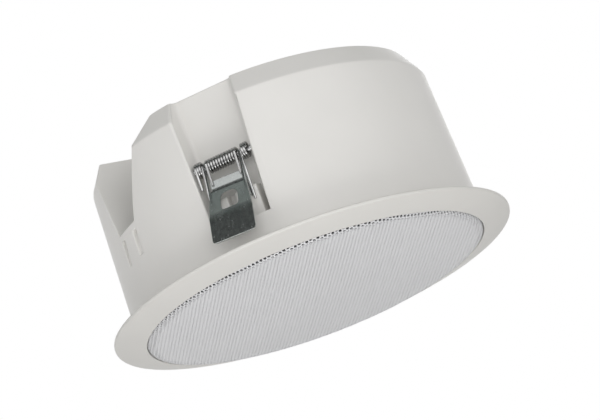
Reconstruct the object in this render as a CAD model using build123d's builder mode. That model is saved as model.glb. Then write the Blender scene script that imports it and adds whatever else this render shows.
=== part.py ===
"""In-ceiling speaker: a moulded back can on a flanged front frame, held in the ceiling by two sprung clips.

The seat of the flange against the ceiling is z = 0. The can stands up into the ceiling void (+Z) and the
grille faces down into the room (-Z). Clip a is on the -Y side and clip b on the +Y side.
"""
import os
from math import cos, hypot, pi, radians, sin, sqrt, tan

from build123d import *

os.makedirs("parts", exist_ok=True)

# Clearances
fit_gap = 0.3
running_gap = 0.08
screw_gap = 0.2

# Front frame
flange_diameter = 230.0
flange_rim_thickness = 1.8
flange_rise = 5.0
flange_edge_round = 0.9
recess_depth = 5.6
baffle_thickness = 3.0
baffle_opening_diameter = 147.0

# Back can
can_base_diameter = 202.2
can_shoulder_diameter = 195.6
can_shoulder_height = 84.5
can_back_diameter = 181.0
can_depth = 97.0
can_wall = 2.5
can_edge_round = 1.5

# Clip pockets in the can: heights from its seat, room behind the hinge and stand of the block before it
pocket_foot_width = 28.4
pocket_back_width = 33.8
pocket_draft = 12.0
pocket_room = 8.0
pocket_foot = 16.5
groove_spread = 34.2
block_width = 26.0
block_stand = 2.5
block_top = 29.5
block_groove_width = 4.4
block_groove_depth = 4.0

# Cable recess in the can: its floor, and each wall's facing, distance at the floor and draft
recess_floor_height = 51.5
near_wall_angle, near_wall_distance, near_wall_draft = -70.1, 51.9, 20.7
far_wall_angle, far_wall_distance, far_wall_draft = 135.6, 12.6, 15.7
back_wall_angle, back_wall_distance, back_wall_draft = 27.1, -63.9, 5.7
mouth_angle = 225.0
slit_angle = 222.5
slit_spread = 8.0
slit_width = 2.0
slit_depth = 1.5
slit_length = 18.0

# Grille and its cloth
grille_diameter = 195.4
grille_sheet = 0.8
grille_edge_round = 2.0
grille_proud = 1.0
grille_crown = 1.0
perforation_diameter = 6.0
perforation_pitch = 17.0
perforation_margin = 9.0
cloth_thickness = 0.4
cloth_margin = 3.0

# Spring clips
hinge_inset = 8.1
hinge_height = 53.5
pin_diameter = 3.4
pin_seat = 2.0
plate_sheet = 1.0
plate_width = 25.0
plate_lip_width = 18.4
plate_corner_round = 2.5
plate_bend_round = 1.2
plate_lip_out, plate_lip_height = 4.5, 42.5
plate_bend_out, plate_bend_height = 5.6, 37.5
plate_knee_out, plate_knee_height = 15.5, 21.0
plate_foot_out, plate_foot_height = 23.0, 5.0
window_width = 9.6
window_height = 12.6
ear_spread = 21.4
ear_sheet = 0.8
ear_radius = 2.7
ear_foot_height = 28.0
wire_diameter = 1.4
coil_diameter = 7.0
coil_turns = 11
end_coil_diameter = 9.2
end_coil_turns = 2
coil_pitch = 1.75
ear_play = 0.4
leg_foot_height = 25.8

# Driver
driver_diameter = 165.0
gasket_thickness = 0.9
surround_lip = 0.6
surround_margin = 1.5
basket_sheet = 1.2
basket_depth = 34.9
basket_seat_diameter = 85.0
cone_diameter = 124.0
cone_sheet = 0.7
cone_depth = 23.0
roll_height = 4.4
coil_former_diameter = 27.4
coil_wall = 1.0
coil_length = 20.0
magnetic_gap = 0.4
top_plate_diameter = 68.0
top_plate_thickness = 4.0
magnet_diameter = 76.0
magnet_bore_diameter = 36.0
magnet_thickness = 12.0
back_plate_thickness = 4.0
spider_diameter = 78.0
spider_sheet = 0.6
spider_waves = 4
spider_wave_height = 1.6
whizzer_diameter = 54.0
whizzer_depth = 11.0
dust_cap_height = 4.0
basket_windows = 6
tag_board_length, tag_board_width, tag_board_thickness = 18.0, 6.0, 1.6
tag_length, tag_width, tag_thickness = 6.0, 3.0, 0.6

# Screws
screw_count = 4
frame_screw_circle = 185.0
frame_screw_diameter = 3.2
frame_screw_head = 6.4
frame_screw_head_height = 1.8
frame_screw_length = 15.0
driver_screw_circle = 159.0
driver_screw_diameter = 3.0
driver_screw_head = 5.6
driver_screw_head_height = 1.6
post_diameter = 8.4
post_height = 24.0

# Line transformer, hung from the back of the can
transformer_offset = 62.0
core_width, core_height, core_stack = 42.0, 35.0, 16.0
core_limb = 7.0
winding_bulge = 8.0
strap_sheet = 1.2
strap_foot = 10.0
transformer_screw_diameter = 3.6
transformer_screw_head = 7.0
transformer_screw_head_height = 2.0
transformer_screw_length = 8.0

# Terminal block on the floor of the cable recess
terminal_length, terminal_width, terminal_height = 24.0, 12.0, 11.0
terminal_ways = 3
terminal_gap = 2.5

# Sizes that follow from those above
can_base_radius = can_base_diameter / 2
can_shoulder_radius = can_shoulder_diameter / 2
can_back_radius = can_back_diameter / 2
can_mouth_radius = can_base_radius - can_wall
hinge_radius = can_base_radius - hinge_inset
can_slope = (can_base_radius - can_shoulder_radius) / can_shoulder_height
flange_radius = flange_diameter / 2
frame_front = -(flange_rim_thickness + flange_rise)
baffle_front = frame_front + recess_depth
baffle_rear = baffle_front + baffle_thickness
grille_radius = grille_diameter / 2
grille_recess_radius = grille_radius + 2 * fit_gap
grille_edge = frame_front - grille_proud
grille_centre = grille_edge - grille_crown
pocket_floor = hinge_radius - pocket_room
block_face = hinge_radius + block_stand
draft_slope = tan(radians(pocket_draft))
pocket_taper = (pocket_back_width - pocket_foot_width) / 2 / (can_depth - block_top)
pin_radius = pin_diameter / 2
wire_radius = wire_diameter / 2
beyond = flange_diameter


def can_radius(height):
    """Outer radius of the can's drafted wall at a height above the seat."""
    return can_base_radius - can_slope * height


def ring(inner, outer, low, high):
    """A plain ring about the axis, between two radii and two heights."""
    with BuildPart() as band:
        with BuildSketch(Plane.XY.offset(low)):
            Circle(outer)
            Circle(inner, mode=Mode.SUBTRACT)
        extrude(amount=high - low)
    return band.part


def save(piece, name):
    """Labels a finished piece and writes its file."""
    piece.label = name
    export_step(piece, f"parts/{name}.step")


# Front frame: the flange, the recess that takes the grille, and the baffle inside the can's mouth.
with BuildPart() as front_frame:
    with BuildSketch(Plane.XZ):
        with BuildLine():
            Polyline(
                (baffle_opening_diameter / 2, baffle_front),
                (grille_recess_radius, baffle_front),
                (grille_recess_radius, frame_front),
                (flange_radius, -flange_rim_thickness),
                (flange_radius, 0),
                (can_mouth_radius - fit_gap, 0),
                (can_mouth_radius - fit_gap, baffle_rear),
                (baffle_opening_diameter / 2, baffle_rear),
                close=True,
            )
        frame_section = make_face()
        fillet(frame_section.vertices().group_by(Axis.X)[-1], flange_edge_round * 0.95)
    revolve(axis=Axis.Z)
    with Locations((0, 0, baffle_rear)):
        with PolarLocations(frame_screw_circle / 2, screw_count, start_angle=45):
            Hole(frame_screw_diameter / 2 + screw_gap)
        with PolarLocations(driver_screw_circle / 2, screw_count):
            Hole(driver_screw_diameter / 2 + screw_gap / 2, depth=baffle_thickness * 0.7)
save(front_frame.part, "front_frame")


def pocket_half_width(height, distance):
    """Half width of a clip pocket at a height above the seat and a distance from the axis."""
    foot_half_width = pocket_foot_width / 2 + pocket_taper * (height - block_top)
    return foot_half_width + draft_slope * (distance - pocket_floor)


def clip_pockets(grow):
    """The room of the two clip pockets, their walls moved back by grow."""
    channel_foot = block_top + draft_slope * (block_face - pocket_floor) - grow
    channel_top = can_depth + pocket_foot
    floor_plane = Plane(origin=(0, grow - pocket_floor, 0), x_dir=(1, 0, 0), z_dir=(0, -1, 0))
    foot_half = pocket_half_width(channel_foot, pocket_floor) + grow
    top_half = pocket_half_width(channel_top, pocket_floor) + grow
    groove_width = (groove_spread - block_width) / 2 + 2 * grow
    groove_offset = (groove_spread + block_width) / 4
    boxes = (
        (0, groove_spread + 2 * grow, block_face),
        (0, block_groove_width + 2 * grow, block_face - block_groove_depth),
        (groove_offset, groove_width, pocket_floor),
        (-groove_offset, groove_width, pocket_floor),
    )
    with BuildPart() as room:
        with BuildSketch(floor_plane):
            with BuildLine():
                Polyline(
                    (-foot_half, channel_foot),
                    (foot_half, channel_foot),
                    (top_half, channel_top),
                    (-top_half, channel_top),
                    close=True,
                )
            make_face()
        extrude(amount=flange_radius - pocket_floor, taper=-pocket_draft)
        for across, width, floor in boxes:
            with Locations((across, grow - floor, pocket_foot - grow)):
                Box(
                    width,
                    flange_radius - floor,
                    channel_foot - pocket_foot + 2 * grow,
                    align=(Align.CENTER, Align.MAX, Align.MIN),
                )
    with BuildPart() as rooms:
        with PolarLocations(0, 2):
            add(room.part)
    return rooms.part


def crossing(first, second):
    """Point where two lines cross, each given by its facing angle and its distance from the axis."""
    first_angle, first_distance = radians(first[0]), first[1]
    second_angle, second_distance = radians(second[0]), second[1]
    spread = sin(second_angle - first_angle)
    across = (first_distance * sin(second_angle) - second_distance * sin(first_angle)) / spread
    along = (second_distance * cos(first_angle) - first_distance * cos(second_angle)) / spread
    return across, along


def recess_corners(height, grow):
    """Corners of the cable recess at a height, its drafted walls moved back by grow."""
    rise = height - recess_floor_height
    near = (near_wall_angle, near_wall_distance + rise * tan(radians(near_wall_draft)) + grow)
    far = (far_wall_angle, far_wall_distance + rise * tan(radians(far_wall_draft)) + grow)
    back = (back_wall_angle, back_wall_distance + rise * tan(radians(back_wall_draft)) + grow)
    mouth = (mouth_angle, flange_radius)
    return crossing(near, back), crossing(back, far), crossing(far, mouth), crossing(mouth, near)


def cable_recess(grow):
    """The room of the cable recess, its floor and walls moved back by grow."""
    with BuildPart() as room:
        for height in (recess_floor_height - grow, can_depth + can_wall):
            with BuildSketch(Plane.XY.offset(height)):
                with BuildLine():
                    Polyline(*recess_corners(height, grow), close=True)
                make_face()
        loft(ruled=True)
    return room.part


pin_length = 2 * (pocket_half_width(hinge_height, hinge_radius) + pin_seat)

# The air space inside the can: the wall thickness in from the outside all round.
with BuildPart() as can_space:
    with BuildSketch(Plane.XZ):
        with BuildLine():
            Polyline(
                (0, 0),
                (can_mouth_radius, 0),
                (can_shoulder_radius - can_wall, can_shoulder_height - can_wall / 2),
                (can_back_radius - can_wall, can_depth - can_wall),
                (0, can_depth - can_wall),
                close=True,
            )
        make_face()
    revolve(axis=Axis.Z)
    add(clip_pockets(can_wall), mode=Mode.SUBTRACT)
    add(cable_recess(can_wall), mode=Mode.SUBTRACT)

# Back can: a drafted drum with a chamfered back, moulded in one with its pockets, recess and screw posts.
with BuildPart() as back_can:
    with BuildSketch(Plane.XZ):
        with BuildLine():
            Polyline(
                (0, 0),
                (can_base_radius, 0),
                (can_shoulder_radius, can_shoulder_height),
                (can_back_radius, can_depth),
                (0, can_depth),
                close=True,
            )
        can_section = make_face()
        shoulder = can_section.vertices().sort_by_distance((can_shoulder_radius, 0, can_shoulder_height))[0]
        back_edge = can_section.vertices().sort_by_distance((can_back_radius, 0, can_depth))[0]
        fillet([shoulder, back_edge], can_edge_round)
    revolve(axis=Axis.Z)
    add(clip_pockets(0), mode=Mode.SUBTRACT)
    add(cable_recess(0), mode=Mode.SUBTRACT)
    add(can_space.part, mode=Mode.SUBTRACT)
    # Sockets for the hinge pins in the side walls of the pockets
    for side in (-1, 1):
        socket_length = pin_length + 2 * running_gap
        with Locations(Location((0, side * hinge_radius, hinge_height), (0, 90, 0))):
            Cylinder(pin_radius + running_gap, socket_length, mode=Mode.SUBTRACT)
    # Slits that free the tongue below the mouth of the cable recess
    slit_foot = recess_floor_height - slit_length
    slit_floor = can_radius(slit_foot + slit_length / 2) - slit_depth
    with Locations((0, 0, slit_foot)):
        for angle in (slit_angle - slit_spread / 2, slit_angle + slit_spread / 2):
            with PolarLocations(slit_floor, 1, start_angle=angle):
                Box(
                    can_wall * 2,
                    slit_width,
                    slit_length,
                    align=(Align.MIN, Align.CENTER, Align.MIN),
                    mode=Mode.SUBTRACT,
                )
    # Screw posts for the front frame, each tied to the wall by a rib
    with Locations((0, 0, baffle_rear)):
        with PolarLocations(frame_screw_circle / 2, screw_count, start_angle=45):
            Cylinder(post_diameter / 2, post_height, align=(Align.CENTER, Align.CENTER, Align.MIN))
            Box(
                can_mouth_radius - frame_screw_circle / 2 + can_wall / 4,
                can_wall,
                post_height,
                align=(Align.MIN, Align.CENTER, Align.MIN),
            )
        with PolarLocations(frame_screw_circle / 2, screw_count, start_angle=45):
            Cylinder(
                frame_screw_diameter / 2 + running_gap,
                frame_screw_length,
                align=(Align.CENTER, Align.CENTER, Align.MIN),
                mode=Mode.SUBTRACT,
            )
    # Holes for the transformer screws in the back
    with Locations((0, 0, can_depth)):
        with Locations(
            (transformer_offset, core_width / 2 + strap_sheet + strap_foot / 2),
            (transformer_offset, -core_width / 2 - strap_sheet - strap_foot / 2),
        ):
            Hole(transformer_screw_diameter / 2 + running_gap, depth=can_wall)
save(back_can.part, "back_can")


def crown_line(radius, centre_height, rise):
    """Draws half a crowned section, rising from the axis out to a radius on an arc centred on the axis."""
    bend = (radius**2 + rise**2) / (2 * rise)
    middle = centre_height + bend - sqrt(bend**2 - radius**2 / 4)
    ThreePointArc((0, centre_height), (radius / 2, middle), (radius, centre_height + rise))


def pan_section(inset):
    """Draws half a section of the grille's pan, from its skirt to its centre, set in from the outside."""
    corner = grille_radius - grille_edge_round
    turn = grille_edge + grille_edge_round
    Line((grille_radius - inset, baffle_front), (grille_radius - inset, turn))
    CenterArc((corner, turn), grille_edge_round - inset, 0, -90)
    crown_line(corner, grille_centre + inset, grille_crown)


# Grille: a shallow steel pan pressed into the frame's recess, its face perforated in a staggered pattern.
with BuildPart() as grille:
    with BuildSketch(Plane.XZ):
        with BuildLine():
            pan_section(0)
            pan_section(grille_sheet)
            Line((grille_radius, baffle_front), (grille_radius - grille_sheet, baffle_front))
            Line((0, grille_centre), (0, grille_centre + grille_sheet))
        make_face()
    revolve(axis=Axis.Z)
    hole_reach = grille_radius - grille_edge_round - perforation_margin
    row_pitch = perforation_pitch * sqrt(3) / 2
    reach = int(hole_reach / row_pitch) + 1
    lattice = [
        ((column + row % 2 / 2) * perforation_pitch, (row + 0.5) * row_pitch)
        for row in range(-reach, reach)
        for column in range(-reach, reach)
    ]
    perforations = [spot for spot in lattice if hypot(*spot) < hole_reach]
    with BuildSketch(Plane.XY.offset(grille_centre - grille_sheet)):
        with Locations(*perforations):
            Circle(perforation_diameter / 2)
    extrude(amount=grille_crown + 3 * grille_sheet, mode=Mode.SUBTRACT)
save(grille.part, "grille")

# Grille cloth: a black scrim glued to the inside of the grille's face.
with BuildPart() as grille_cloth:
    cloth_radius = grille_radius - grille_edge_round - cloth_margin
    cloth_low = grille_centre + grille_sheet + fit_gap / 2
    with BuildSketch(Plane.XZ):
        with BuildLine():
            crown_line(cloth_radius, cloth_low, grille_crown)
            crown_line(cloth_radius, cloth_low + cloth_thickness, grille_crown)
            Line((0, cloth_low), (0, cloth_low + cloth_thickness))
            cloth_rim = cloth_low + grille_crown
            Line((cloth_radius, cloth_rim), (cloth_radius, cloth_rim + cloth_thickness))
        make_face()
    revolve(axis=Axis.Z)
save(grille_cloth.part, "grille_cloth")


def circle_spots(diameter, start):
    """Places of the screws round a circle, the first at the start angle."""
    angles = [radians(start + 360 * turn / screw_count) for turn in range(screw_count)]
    return [(diameter / 2 * cos(angle), diameter / 2 * sin(angle)) for angle in angles]


def screws(spots, shank_radius, head_radius, head_height, length, seat, direction):
    """Pan-head screws with their heads on the seat height and their shanks up (1) or down (-1) from it."""
    shank_align = (Align.CENTER, Align.CENTER, Align.MIN if direction > 0 else Align.MAX)
    head_align = (Align.CENTER, Align.CENTER, Align.MAX if direction > 0 else Align.MIN)
    with BuildPart() as group:
        with Locations(*[(across, along, seat) for across, along in spots]):
            Cylinder(head_radius, head_height, align=head_align)
            Cylinder(shank_radius, length, align=shank_align)
    return group.part


frame_spots = circle_spots(frame_screw_circle, 45)
frame_screws = screws(
    frame_spots, frame_screw_diameter / 2, frame_screw_head / 2,
    frame_screw_head_height, frame_screw_length, baffle_front, 1,
)
save(frame_screws, "frame_screws")

# Driver: heights of its stack behind the baffle.
lip_low = baffle_rear + gasket_thickness
basket_low = lip_low + surround_lip
basket_high = basket_low + basket_sheet
basket_back = basket_low + basket_depth
top_plate_high = basket_back + top_plate_thickness
magnet_high = top_plate_high + magnet_thickness
driver_radius = driver_diameter / 2
opening_radius = baffle_opening_diameter / 2
cone_radius = cone_diameter / 2
former_radius = coil_former_diameter / 2
seat_radius = basket_seat_diameter / 2
gap_radius = former_radius + magnetic_gap
pole_radius = former_radius - coil_wall - magnetic_gap
cone_rim = lip_low
cone_neck = cone_rim + cone_depth


def drill_driver_ring():
    """Takes the driver's screw holes out of the ring being built."""
    with PolarLocations(driver_screw_circle / 2, screw_count):
        Cylinder(driver_screw_diameter / 2 + screw_gap, beyond, mode=Mode.SUBTRACT)


# Driver gasket between the baffle and the driver.
with BuildPart() as driver_gasket:
    add(ring(opening_radius + fit_gap, driver_radius, baffle_rear, lip_low))
    drill_driver_ring()
save(driver_gasket.part, "driver_gasket")

# Basket: a pressed steel cone with six windows, from the mounting ring to the seat of the magnet.
with BuildPart() as driver_basket:
    with BuildSketch(Plane.XZ):
        with BuildLine():
            Polyline(
                (driver_radius, basket_low),
                (driver_radius, basket_high),
                (opening_radius + basket_sheet, basket_high),
                (seat_radius + basket_sheet, basket_back),
                (gap_radius, basket_back),
                (gap_radius, basket_back - basket_sheet),
                (seat_radius, basket_back - basket_sheet),
                (opening_radius, basket_low),
                close=True,
            )
        make_face()
    revolve(axis=Axis.Z)
    window_low = basket_high + basket_depth * 0.16
    window_high = basket_back - basket_depth * 0.2
    window_span = pi * (opening_radius + seat_radius) / basket_windows
    with Locations((0, 0, window_low)):
        with PolarLocations(seat_radius * 0.8, basket_windows):
            Box(
                beyond,
                window_span * 0.62,
                window_high - window_low,
                align=(Align.MIN, Align.CENTER, Align.MIN),
                mode=Mode.SUBTRACT,
            )
    drill_driver_ring()
save(driver_basket.part, "driver_basket")

driver_spots = circle_spots(driver_screw_circle, 0)
driver_grip = basket_high - baffle_rear + baffle_thickness * 0.6
driver_screws = screws(
    driver_spots, driver_screw_diameter / 2, driver_screw_head / 2,
    driver_screw_head_height, driver_grip, basket_high, -1,
)
save(driver_screws, "driver_screws")

# Surround: a half roll between the cone's rim and the mounting ring.
with BuildPart() as surround:
    roll_inner = cone_radius + fit_gap
    roll_outer = opening_radius - surround_margin
    roll_middle = (roll_inner + roll_outer) / 2
    with BuildSketch(Plane.XZ):
        with BuildLine():
            Line((driver_radius, basket_low), (driver_radius, lip_low))
            Line((driver_radius, lip_low), (roll_outer, lip_low))
            ThreePointArc((roll_outer, lip_low), (roll_middle, lip_low - roll_height), (roll_inner, lip_low))
            Line((roll_inner, lip_low), (roll_inner, basket_low))
            Line((roll_inner, basket_low), (roll_inner + surround_lip, basket_low))
            ThreePointArc(
                (roll_inner + surround_lip, basket_low),
                (roll_middle, basket_low - roll_height),
                (roll_outer - surround_lip, basket_low),
            )
            Line((roll_outer - surround_lip, basket_low), (driver_radius, basket_low))
        make_face()
    revolve(axis=Axis.Z)
    drill_driver_ring()
save(surround.part, "surround")

# Cone: a paper cone from the surround to the neck at the voice coil.
neck_radius = former_radius + fit_gap / 3
with BuildPart() as cone:
    with BuildSketch(Plane.XZ):
        with BuildLine():
            Polyline(
                (cone_radius, cone_rim),
                (cone_radius, cone_rim + cone_sheet),
                (neck_radius, cone_neck + cone_sheet),
                (neck_radius, cone_neck - cone_sheet),
                (cone_radius - 2 * cone_sheet, cone_rim),
                close=True,
            )
        make_face()
    revolve(axis=Axis.Z)
save(cone.part, "cone")

# Voice coil: the former that carries the cone's neck and runs in the magnetic gap.
coil_low = cone_neck - 2 * cone_sheet
save(ring(former_radius - coil_wall, former_radius, coil_low, coil_low + coil_length), "voice_coil")

# Whizzer cone: the small treble cone on the front of the former.
with BuildPart() as whizzer_cone:
    whizzer_neck = former_radius - coil_wall
    with BuildSketch(Plane.XZ):
        with BuildLine():
            Polyline(
                (whizzer_neck, coil_low),
                (former_radius, coil_low),
                (whizzer_diameter / 2, coil_low - whizzer_depth),
                (whizzer_diameter / 2 - cone_sheet, coil_low - whizzer_depth),
                close=True,
            )
        make_face()
    revolve(axis=Axis.Z)
save(whizzer_cone.part, "whizzer_cone")

# Dust cap: a shallow dome that closes the former, inside the whizzer cone.
with BuildPart() as dust_cap:
    cap_radius = former_radius - coil_wall - fit_gap / 3
    with BuildSketch(Plane.XZ):
        with BuildLine():
            crown_line(cap_radius, coil_low - dust_cap_height, dust_cap_height)
            crown_line(cap_radius, coil_low - dust_cap_height + cone_sheet, dust_cap_height)
            Line((cap_radius, coil_low), (cap_radius, coil_low + cone_sheet))
            Line((0, coil_low - dust_cap_height), (0, coil_low - dust_cap_height + cone_sheet))
        make_face()
    revolve(axis=Axis.Z)
save(dust_cap.part, "dust_cap")

# Spider: a corrugated disc that centres the former, glued below the basket's seat.
with BuildPart() as spider:
    spider_inner = former_radius + fit_gap / 3
    spider_outer = spider_diameter / 2
    spider_top = basket_back - basket_sheet
    wave = (spider_outer - spider_inner) / (2 * spider_waves + 1)
    upper = [(spider_inner, spider_top)]
    for turn in range(2 * spider_waves):
        dip = spider_wave_height * (turn % 2)
        upper.append((spider_inner + wave * (turn + 1), spider_top - spider_wave_height + dip))
    upper.append((spider_outer, spider_top))
    lower = [(across, height - spider_sheet) for across, height in reversed(upper)]
    with BuildSketch(Plane.XZ):
        with BuildLine():
            Polyline(*upper, *lower, close=True)
        make_face()
    revolve(axis=Axis.Z)
save(spider.part, "spider")

# Magnet stack: front plate, ferrite ring, and the back plate with its pole.
save(ring(gap_radius, top_plate_diameter / 2, basket_back, top_plate_high), "top_plate")
save(ring(magnet_bore_diameter / 2, magnet_diameter / 2, top_plate_high, magnet_high), "magnet")
with BuildPart() as back_plate:
    with Locations((0, 0, magnet_high)):
        Cylinder(top_plate_diameter / 2, back_plate_thickness, align=(Align.CENTER, Align.CENTER, Align.MIN))
    with Locations((0, 0, basket_back)):
        Cylinder(pole_radius, magnet_high - basket_back, align=(Align.CENTER, Align.CENTER, Align.MIN))
save(back_plate.part, "back_plate")

# Driver terminals: a tag board on the back of the mounting ring, with two solder tags.
with BuildPart() as driver_terminals:
    with Locations((-(driver_radius + opening_radius + basket_sheet) / 2, 0, basket_high)):
        with Locations((0, driver_screw_circle / 4)):
            on_ring = (Align.CENTER, Align.CENTER, Align.MIN)
            Box(tag_board_width, tag_board_length, tag_board_thickness, align=on_ring)
            with GridLocations(0, tag_board_length / 2, 1, 2):
                Box(tag_thickness, tag_width, tag_board_thickness + tag_length, align=on_ring)
save(driver_terminals.part, "driver_terminals")

# Line transformer: laminations on edge under the can's back, a winding on the middle limb, and a strap.
core_top = can_depth - can_wall
core_bottom = core_top - core_height
window_across = core_width / 2 - 2 * core_limb
window_offset = core_limb + window_across / 2
with BuildPart() as transformer_core:
    with Locations((transformer_offset, 0, core_bottom)):
        Box(core_stack, core_width, core_height, align=(Align.CENTER, Align.CENTER, Align.MIN))
        with Locations((0, window_offset, core_limb), (0, -window_offset, core_limb)):
            Box(
                core_stack,
                window_across,
                core_height - 2 * core_limb,
                align=(Align.CENTER, Align.CENTER, Align.MIN),
                mode=Mode.SUBTRACT,
            )
save(transformer_core.part, "transformer_core")

with BuildPart() as transformer_bobbin:
    with BuildSketch(Plane.XY.offset(core_bottom + core_limb + fit_gap / 3)):
        with Locations((transformer_offset, 0)):
            winding_width = 2 * (core_limb + window_across - fit_gap)
            RectangleRounded(core_stack + 2 * winding_bulge, winding_width, core_limb * 0.6)
            Rectangle(core_stack + 2 * fit_gap, 2 * (core_limb + fit_gap), mode=Mode.SUBTRACT)
    extrude(amount=core_height - 2 * core_limb - 2 * fit_gap / 3)
save(transformer_bobbin.part, "transformer_bobbin")

strap_half = core_width / 2 + strap_sheet
foot_offset = strap_half + strap_foot / 2
with BuildPart() as transformer_bracket:
    with BuildSketch(Plane.YZ.offset(transformer_offset - core_stack / 2)):
        with BuildLine():
            Polyline(
                (-strap_half - strap_foot, core_top),
                (-core_width / 2, core_top),
                (-core_width / 2, core_bottom),
                (core_width / 2, core_bottom),
                (core_width / 2, core_top),
                (strap_half + strap_foot, core_top),
                (strap_half + strap_foot, core_top - strap_sheet),
                (strap_half, core_top - strap_sheet),
                (strap_half, core_bottom - strap_sheet),
                (-strap_half, core_bottom - strap_sheet),
                (-strap_half, core_top - strap_sheet),
                (-strap_half - strap_foot, core_top - strap_sheet),
                close=True,
            )
        make_face()
    extrude(amount=core_stack)
    with Locations((transformer_offset, foot_offset, core_top), (transformer_offset, -foot_offset, core_top)):
        Hole(transformer_screw_diameter / 2 + running_gap, depth=strap_sheet)
save(transformer_bracket.part, "transformer_bracket")

transformer_spots = [(transformer_offset, foot_offset), (transformer_offset, -foot_offset)]
transformer_screws = screws(
    transformer_spots, transformer_screw_diameter / 2, transformer_screw_head / 2,
    transformer_screw_head_height, transformer_screw_length, can_depth, -1,
)
save(transformer_screws, "transformer_screws")

# Terminal block: a three-way block on the floor of the cable recess, its wire entries facing the mouth.
inner_corner, outer_corner = recess_corners(recess_floor_height, 0)[:2]
wall_face = Vector(cos(radians(back_wall_angle)), sin(radians(back_wall_angle)))
wall_middle = (Vector(*inner_corner) + Vector(*outer_corner)) / 2
terminal_middle = wall_middle - wall_face * (terminal_gap + terminal_width / 2)
terminal_plane = Plane(
    origin=(terminal_middle.X, terminal_middle.Y, recess_floor_height),
    x_dir=wall_face,
    z_dir=(0, 0, 1),
)
way_pitch = terminal_length / terminal_ways
with BuildPart(terminal_plane) as terminal_block:
    Box(terminal_width, terminal_length, terminal_height, align=(Align.CENTER, Align.CENTER, Align.MIN))
    with Locations((-terminal_width / 2, 0, terminal_height * 0.4)):
        with GridLocations(0, way_pitch, 1, terminal_ways):
            Box(terminal_width, way_pitch * 0.5, terminal_height * 0.35, mode=Mode.SUBTRACT)
    with Locations((0, 0, terminal_height)):
        with GridLocations(0, way_pitch, 1, terminal_ways):
            Cylinder(way_pitch * 0.3, terminal_height * 0.5, mode=Mode.SUBTRACT)
save(terminal_block.part, "terminal_block")

with BuildPart(terminal_plane) as terminal_screws:
    with Locations((0, 0, terminal_height * 0.75)):
        with GridLocations(0, way_pitch, 1, terminal_ways):
            Cylinder(way_pitch * 0.26, terminal_height * 0.15, align=(Align.CENTER, Align.CENTER, Align.MIN))
save(terminal_screws.part, "terminal_screws")

# Clip a is drawn in the plane x = 0, across it the distance out from the hinge and up it the height.
clip_side = Plane(origin=(0, -hinge_radius, 0), x_dir=(0, -1, 0), z_dir=(-1, 0, 0))
clip_front = Plane(origin=(0, -hinge_radius, 0), x_dir=(1, 0, 0), z_dir=(0, -1, 0))
hinge_axis = Axis((0, -hinge_radius, hinge_height), (1, 0, 0))
hinge_plane = Plane(origin=(0, -hinge_radius, hinge_height), x_dir=(1, 0, 0), z_dir=(0, 0, 1))
ear_outer = ear_spread / 2
ear_inner = ear_outer - ear_sheet

# Clip plate: bent sheet with a narrow top lip, an arched window and two ears on the pin.
with BuildPart() as clip_plate:
    with BuildSketch(clip_side):
        with BuildLine():
            FilletPolyline(
                (plate_lip_out, plate_lip_height),
                (plate_bend_out, plate_bend_height),
                (plate_knee_out, plate_knee_height),
                (plate_foot_out, plate_foot_height),
                radius=plate_bend_round,
            )
            offset(amount=plate_sheet, side=Side.LEFT)
        make_face()
    extrude(amount=plate_width / 2, both=True)
    with BuildSketch(clip_front):
        with BuildLine():
            Polyline(
                (-ear_outer, plate_bend_height),
                (-plate_width / 2, plate_knee_height),
                (-plate_width / 2, plate_foot_height),
                (plate_width / 2, plate_foot_height),
                (plate_width / 2, plate_knee_height),
                (ear_outer, plate_bend_height),
                close=True,
            )
        plate_outline = make_face()
        fillet(plate_outline.vertices().group_by(Axis.Y)[0], plate_corner_round)
        with Locations((0, plate_bend_height)):
            Rectangle(plate_lip_width, plate_lip_height - plate_foot_height)
    extrude(amount=beyond, mode=Mode.INTERSECT)
    with BuildSketch(clip_front):
        with Locations((0, plate_knee_height + window_height - window_width / 2)):
            Circle(window_width / 2)
            arch_drop = window_height - window_width / 2
            Rectangle(window_width, arch_drop, align=(Align.CENTER, Align.MAX))
    extrude(amount=beyond, mode=Mode.SUBTRACT)
    for edge in (-ear_outer, ear_inner):
        with BuildSketch(clip_side.offset(edge)):
            with Locations((0, hinge_height)):
                Circle(ear_radius)
            with BuildLine():
                heel = block_face + fit_gap - hinge_radius
                slope = (plate_knee_out - plate_bend_out) / (plate_bend_height - plate_knee_height)
                heel_reach = plate_bend_out + slope * (plate_bend_height - ear_foot_height)
                Polyline(
                    (heel, ear_foot_height),
                    (heel_reach + plate_sheet / 2, ear_foot_height),
                    (plate_bend_out + plate_sheet / 2, plate_bend_height),
                    close=True,
                )
            make_face()
            make_hull()
        extrude(amount=ear_sheet)
    with Locations(Location((0, -hinge_radius, hinge_height), (0, 90, 0))):
        Cylinder(pin_radius + running_gap, plate_width, mode=Mode.SUBTRACT)

# Clip pin: a plain pin across the pocket, its ends in the side walls.
with BuildPart() as clip_pin:
    with Locations(Location((0, -hinge_radius, hinge_height), (0, 90, 0))):
        Cylinder(pin_radius, pin_length)


def coil_section(start, turns, outer):
    """Half section of a close-wound coil along the hinge, one ridge for each turn of wire."""
    bore = outer - wire_diameter
    points = [(start, bore)]
    for turn in range(turns):
        points.append((start + coil_pitch * turn, outer - wire_radius))
        points.append((start + coil_pitch * (turn + 0.5), outer))
    points.append((start + coil_pitch * turns, outer - wire_radius))
    points.append((start + coil_pitch * turns, bore))
    return points


def wire(start, end, radius):
    """A straight piece of wire between two points."""
    run = Vector(*end) - Vector(*start)
    with BuildPart() as rod:
        with BuildSketch(Plane(origin=start, z_dir=run.normalized())):
            Circle(radius)
        extrude(amount=run.length)
    return rod.part


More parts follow.
